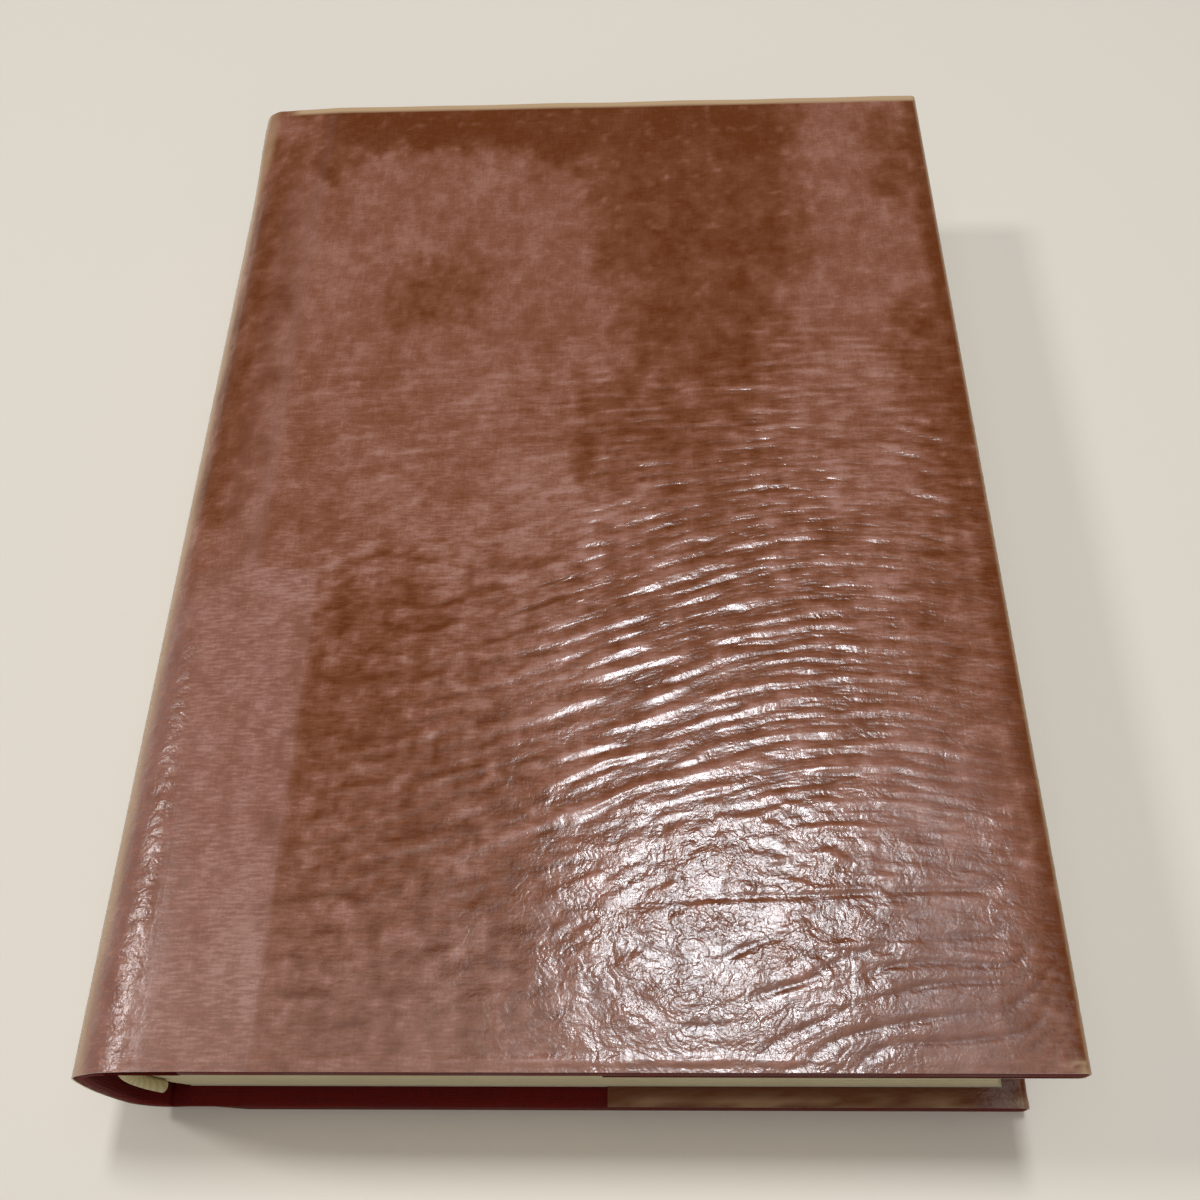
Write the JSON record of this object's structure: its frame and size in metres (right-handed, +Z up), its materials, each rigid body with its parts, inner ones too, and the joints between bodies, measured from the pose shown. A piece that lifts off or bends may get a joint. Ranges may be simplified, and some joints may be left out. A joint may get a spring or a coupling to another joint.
{
  "type": "hardback book",
  "caption": "Case-bound hardback book in a glossy glassine wrapper, with a rounded text block, a hollow spine and covers that open.",
  "frame": {"origin": "on the ground, under the middle of the closed book's box", "axes": "+X from the spine to the fore edge, +Y from the tail to the head, +Z up through the front cover"},
  "size_m": [0.1404, 0.1954, 0.0349],
  "materials": {
    "pages": "trimmed edges of cream book paper",
    "endpaper": "plain cream endpaper, matt",
    "gauze": "open starched cotton gauze",
    "lining": "brown lining paper",
    "band_thread": "cream woven band with a rolled bead",
    "board": "grey-brown binder's board",
    "red_cloth": "dark red book cloth, fine horizontal threads",
    "wrapper": "tan translucent glassine, glossy and rippled: brown where it lies on the red cloth, mauve where it has lifted"
  },
  "bodies": {
    "block": {"text_block": "pages", "front_flyleaf": "endpaper", "back_flyleaf": "endpaper", "back_gauze": "gauze", "back_lining": "lining", "headband": "band_thread", "tailband": "band_thread", "spine_card": "board", "spine_cloth": "red_cloth", "wrapper_spine": "wrapper"},
    "front_cover": {"front_board": "board", "front_cloth": "red_cloth", "front_gauze": "gauze", "front_pastedown": "endpaper", "wrapper_front": "wrapper"},
    "back_cover": {"lower_board": "board", "lower_cloth": "red_cloth", "lower_gauze": "gauze", "lower_pastedown": "endpaper", "wrapper_lower": "wrapper"}
  },
  "joints": [
    {"name": "front_hinge", "type": "hinge", "parent": "block", "child": "front_cover", "pos_m": [-0.06185, 0, 0.0339], "axis": [0, -1, 0], "range_deg": [0, 180]},
    {"name": "back_hinge", "type": "hinge", "parent": "block", "child": "back_cover", "pos_m": [-0.06185, 0, 0.002], "axis": [0, 1, 0], "range_deg": [0, 180]}
  ]
}
